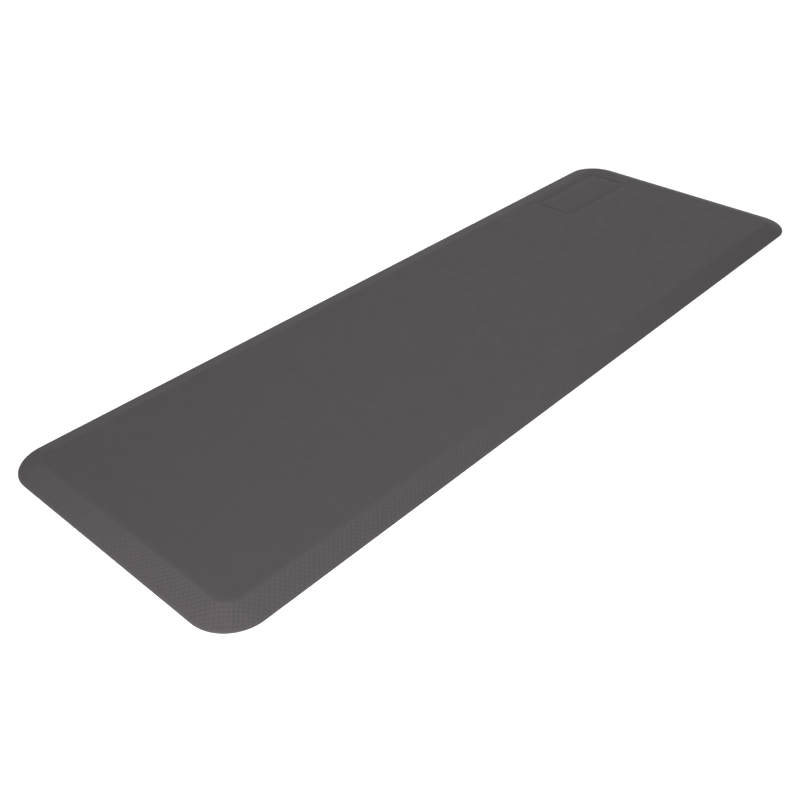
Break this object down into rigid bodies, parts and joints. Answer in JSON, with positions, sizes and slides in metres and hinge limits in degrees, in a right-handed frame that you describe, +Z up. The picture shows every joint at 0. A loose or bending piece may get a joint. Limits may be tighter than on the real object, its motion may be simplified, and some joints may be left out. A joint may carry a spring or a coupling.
{
  "type": "anti-fatigue floor mat",
  "caption": "Long thin cushioned floor mat to stand on, with a smooth flat top, wide ramped edges and rounded corners, lying flat on its non-slip underside.",
  "frame": {"origin": "on the floor, under the centre of the mat's outline", "axes": "+X along the mat's length towards the end with the blank panel, +Y across its width towards the side with the blank panel, +Z up"},
  "size_m": [1.8288, 0.6096, 0.019],
  "materials": {
    "moulded_skin": "matte",
    "core_foam": "matte",
    "grip_skin": "matte"
  },
  "bodies": {
    "root": {"top_skin": "moulded_skin", "foam_core": "core_foam", "base_skin": "grip_skin"}
  },
  "joints": []
}
